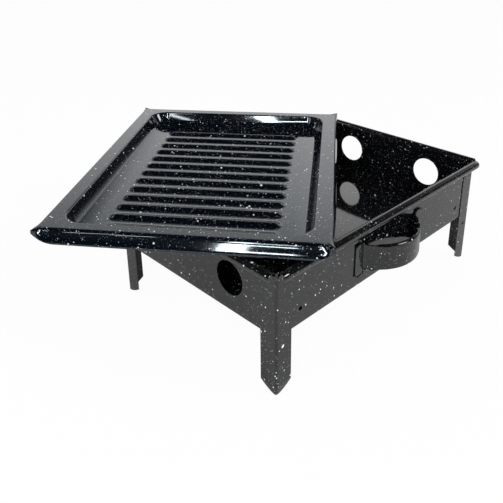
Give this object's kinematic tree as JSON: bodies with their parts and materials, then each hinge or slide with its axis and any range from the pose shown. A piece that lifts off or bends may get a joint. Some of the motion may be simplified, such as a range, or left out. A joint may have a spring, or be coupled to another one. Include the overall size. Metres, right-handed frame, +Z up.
{
  "type": "tabletop brazier grill",
  "caption": "Low rectangular brazier grill of enamelled sheet steel on angle legs, with bowed side handles, air holes in its end walls and a loose ribbed griddle tray laid across the top.",
  "frame": {"origin": "on the table, in the middle between the four legs", "axes": "+X across the box towards the handle side in front, +Y along the box, +Z up"},
  "size_m": [0.5534, 0.5985, 0.186],
  "materials": {
    "box_enamel": "gloss vitreous enamel, black with fine pale speckles",
    "tray_enamel": "gloss vitreous enamel, black with fine pale speckles"
  },
  "bodies": {
    "root": {"fire_box": "box_enamel", "leg_front_right": "box_enamel", "leg_back_right": "box_enamel", "leg_front_left": "box_enamel", "leg_back_left": "box_enamel", "handle_right": "box_enamel", "handle_left": "box_enamel"},
    "tray": {"griddle_tray": "tray_enamel"}
  },
  "joints": [
    {"name": "tray_lift", "type": "slide", "parent": "root", "child": "tray", "axis": [0, 0, 1], "range_m": [0, 0.2]}
  ]
}
